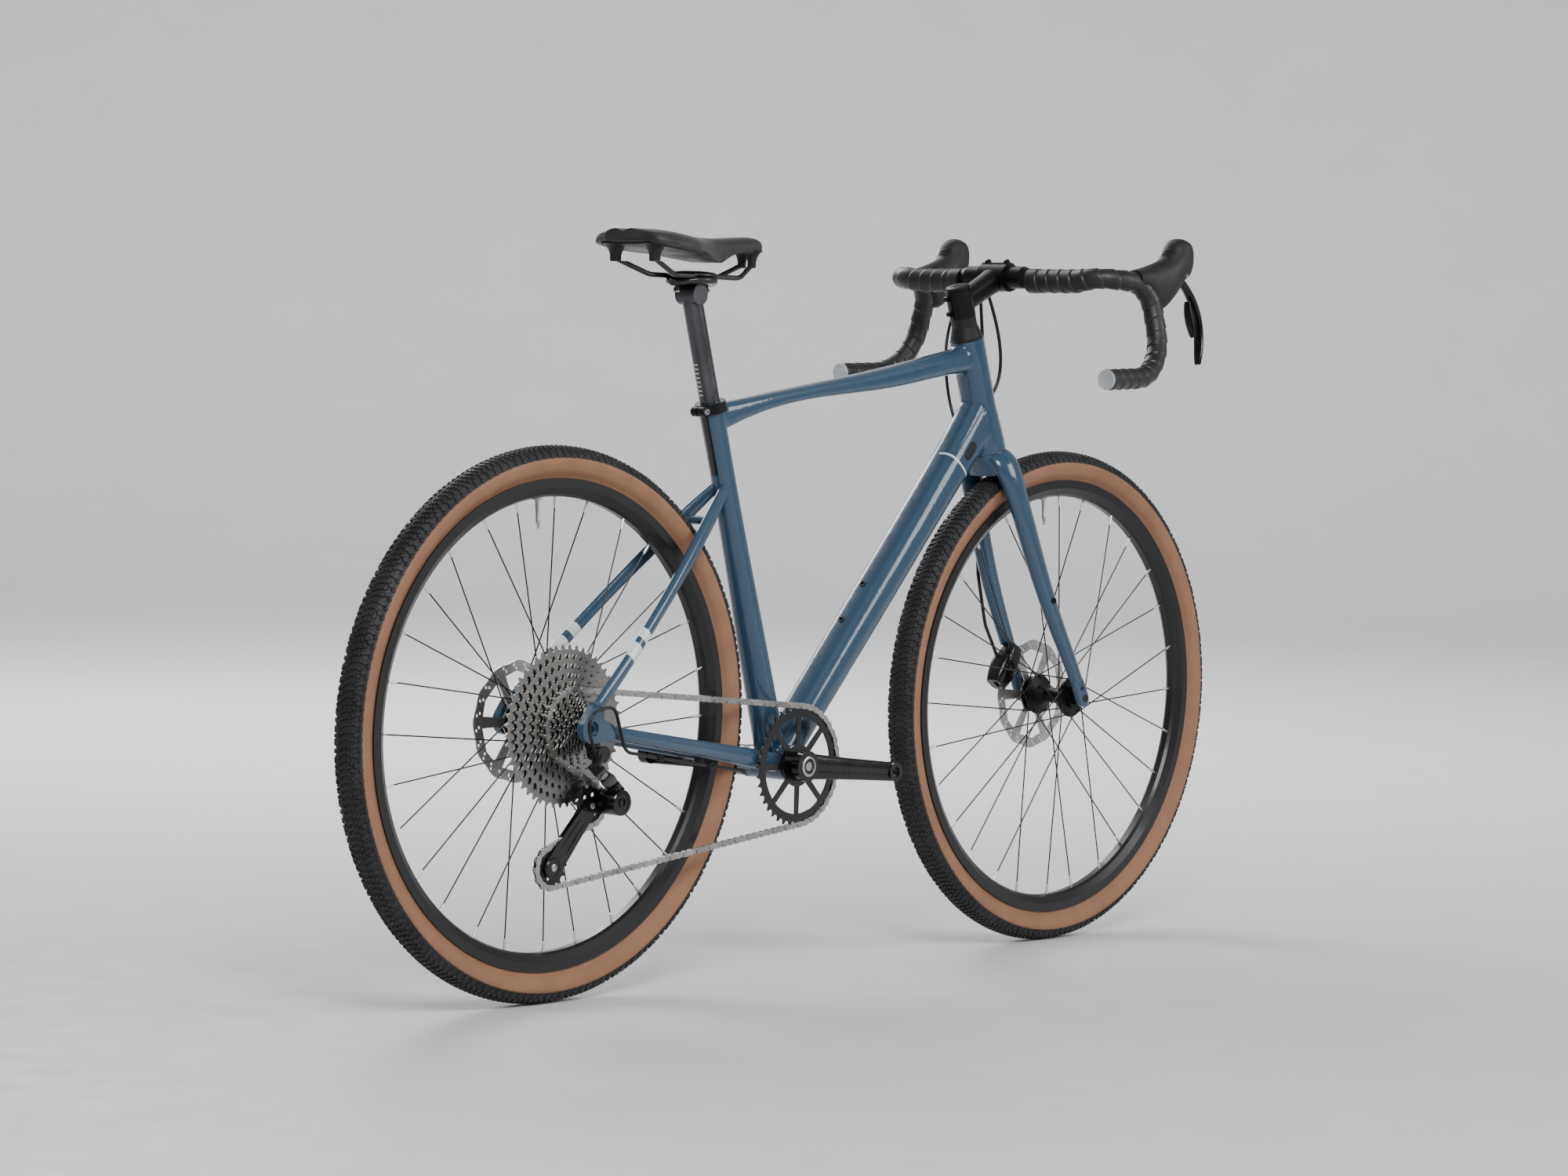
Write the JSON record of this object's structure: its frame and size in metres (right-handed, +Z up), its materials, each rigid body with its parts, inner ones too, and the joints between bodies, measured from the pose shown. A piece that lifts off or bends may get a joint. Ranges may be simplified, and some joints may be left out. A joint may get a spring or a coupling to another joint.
{
  "type": "gravel bicycle",
  "caption": "Gravel bicycle with a flared drop bar, hydraulic disc brakes, one chainring, a wide-range cassette, a rear derailleur, tan-walled tyres and threaded bottle bosses; no pedals.",
  "frame": {"origin": "on the ground midway between the two wheel axles, in the bicycle's middle plane", "axes": "+X forward, +Y to the rider's left, +Z up; the drivetrain is on the -Y side; steering straight ahead"},
  "size_m": [1.776, 0.5192, 1.0315],
  "materials": {
    "frame_paint": "gloss slate blue-grey",
    "black_alloy": "satin black",
    "gloss_black": "gloss black",
    "tyre": "black tread, tan sidewall",
    "steel": "satin",
    "dark_steel": "dark satin",
    "rubber": "matte",
    "tape": "matte wrapped",
    "cover": "matte",
    "plastic": "matte",
    "hose": "satin"
  },
  "bodies": {
    "frame": {"head_tube": "frame_paint", "bb_shell": "frame_paint", "seat_tube": "frame_paint", "top_tube": "frame_paint", "down_tube": "frame_paint", "bottle_bosses": "black_alloy", "dropouts": "frame_paint", "seatstay_right": "frame_paint", "seatstay_left": "frame_paint", "chainstay_right": "frame_paint", "chainstay_left": "frame_paint", "stay_bridges": "frame_paint", "derailleur_hanger": "black_alloy", "seat_clamp": "black_alloy", "headset_cups": "black_alloy", "bb_cups": "black_alloy", "rear_axle": "black_alloy", "rear_caliper": "gloss_black", "chain": "steel", "bar_hoses": "hose", "rear_cables": "hose", "derailleur_knuckle": "gloss_black"},
    "steering": {"fork_crown": "frame_paint", "fork_leg_right": "frame_paint", "fork_leg_left": "frame_paint", "headset_cover": "plastic", "stem": "black_alloy", "handlebar": "black_alloy", "bar_tape": "tape", "hood_right": "rubber", "hood_left": "rubber", "front_caliper": "gloss_black", "front_brake_hose": "hose", "front_axle": "black_alloy"},
    "front_wheel": {"front_rim": "black_alloy", "front_tyre": "tyre", "front_hub": "black_alloy", "front_spokes": "dark_steel", "front_rotor": "steel"},
    "rear_wheel": {"rear_rim": "black_alloy", "rear_tyre": "tyre", "rear_hub": "black_alloy", "rear_spokes": "dark_steel", "rear_rotor": "steel"},
    "cassette": {"cassette": "steel"},
    "crankset": {"chainring": "gloss_black", "crank_arm_right": "gloss_black", "crank_arm_left": "gloss_black"},
    "brake_lever_right": {"lever_right": "black_alloy"},
    "brake_lever_left": {"lever_left": "black_alloy"},
    "shift_paddle": {"shift_paddle": "black_alloy"},
    "seatpost": {"seatpost": "black_alloy"},
    "saddle": {"saddle_rails": "dark_steel", "saddle_base": "plastic", "saddle_cover": "cover"},
    "derailleur_link": {"derailleur_link": "gloss_black"},
    "derailleur_body": {"derailleur_body": "gloss_black"},
    "derailleur_cage": {"derailleur_cage": "gloss_black"},
    "guide_pulley": {"guide_pulley": "plastic"},
    "tension_pulley": {"tension_pulley": "plastic"}
  },
  "joints": [
    {"name": "steering", "type": "hinge", "parent": "frame", "child": "steering", "pos_m": [0.48201, 0, 0.34461], "axis": [-0.3173, 0, 0.9483], "range_deg": [-60, 60], "deforming": ["bar_hoses"]},
    {"name": "front_wheel_spin", "type": "hinge", "parent": "steering", "child": "front_wheel", "pos_m": [0.528, 0, 0.36], "axis": [0, 1, 0], "continuous": true},
    {"name": "rear_wheel_spin", "type": "hinge", "parent": "frame", "child": "rear_wheel", "pos_m": [-0.528, 0, 0.36], "axis": [0, 1, 0], "continuous": true},
    {"name": "crank_spin", "type": "hinge", "parent": "frame", "child": "crankset", "pos_m": [-0.08955, 0, 0.29], "axis": [0, 1, 0], "continuous": true, "deforming": ["chain"]},
    {"name": "cassette_spin", "type": "hinge", "parent": "frame", "child": "cassette", "pos_m": [-0.528, 0, 0.36], "axis": [0, 1, 0], "continuous": true, "deforming": ["chain"]},
    {"name": "brake_lever_right_pull", "type": "hinge", "parent": "steering", "child": "brake_lever_right", "pos_m": [0.52034, -0.206, 0.97867], "axis": [0, 1, 0], "range_deg": [0, 20], "stiffness_Nm_per_rad": 1.5, "springref_deg": -8.59},
    {"name": "brake_lever_left_pull", "type": "hinge", "parent": "steering", "child": "brake_lever_left", "pos_m": [0.52034, 0.206, 0.97867], "axis": [0, 1, 0], "range_deg": [0, 20], "stiffness_Nm_per_rad": 1.5, "springref_deg": -8.59},
    {"name": "shift_paddle_push", "type": "hinge", "parent": "brake_lever_right", "child": "shift_paddle", "pos_m": [0.54734, -0.21, 0.93667], "axis": [1, 0, 0], "range_deg": [0, 15], "stiffness_Nm_per_rad": 0.15, "springref_deg": -8.59},
    {"name": "seatpost_height", "type": "slide", "parent": "frame", "child": "seatpost", "axis": [-0.2874, 0, 0.9578], "range_m": [-0.08, 0.06]},
    {"name": "saddle_tilt", "type": "hinge", "parent": "seatpost", "child": "saddle", "pos_m": [-0.27892, 0, 0.92121], "axis": [0, 1, 0], "range_deg": [-8, 8]},
    {"name": "derailleur_link_swing", "type": "hinge", "parent": "frame", "child": "derailleur_link", "pos_m": [-0.525, -0.092, 0.307], "axis": [-0.0676, 0.8231, 0.5639], "range_deg": [-40, 22], "deforming": ["chain"]},
    {"name": "derailleur_body_swing", "type": "hinge", "parent": "derailleur_link", "child": "derailleur_body", "pos_m": [-0.481, -0.074, 0.286], "axis": [-0.0676, 0.8231, 0.5639], "range_deg": [-22, 40], "deforming": ["chain"]},
    {"name": "derailleur_cage_swing", "type": "hinge", "parent": "derailleur_body", "child": "derailleur_cage", "pos_m": [-0.471, -0.046, 0.263], "axis": [0, 1, 0], "range_deg": [-20, 30], "stiffness_Nm_per_rad": 1.2, "deforming": ["chain"]},
    {"name": "guide_pulley_spin", "type": "hinge", "parent": "derailleur_cage", "child": "guide_pulley", "pos_m": [-0.494, -0.046, 0.258], "axis": [0, 1, 0], "continuous": true, "deforming": ["chain"]},
    {"name": "tension_pulley_spin", "type": "hinge", "parent": "derailleur_cage", "child": "tension_pulley", "pos_m": [-0.56209, -0.046, 0.18206], "axis": [0, 1, 0], "continuous": true, "deforming": ["chain"]}
  ],
  "couplings": [
    {"joint": "cassette_spin", "follows": "crank_spin", "ratio": 1.6667},
    {"joint": "guide_pulley_spin", "follows": "crank_spin", "ratio": -3.0769},
    {"joint": "tension_pulley_spin", "follows": "crank_spin", "ratio": 3.0769},
    {"joint": "derailleur_body_swing", "follows": "derailleur_link_swing", "ratio": -1}
  ]
}
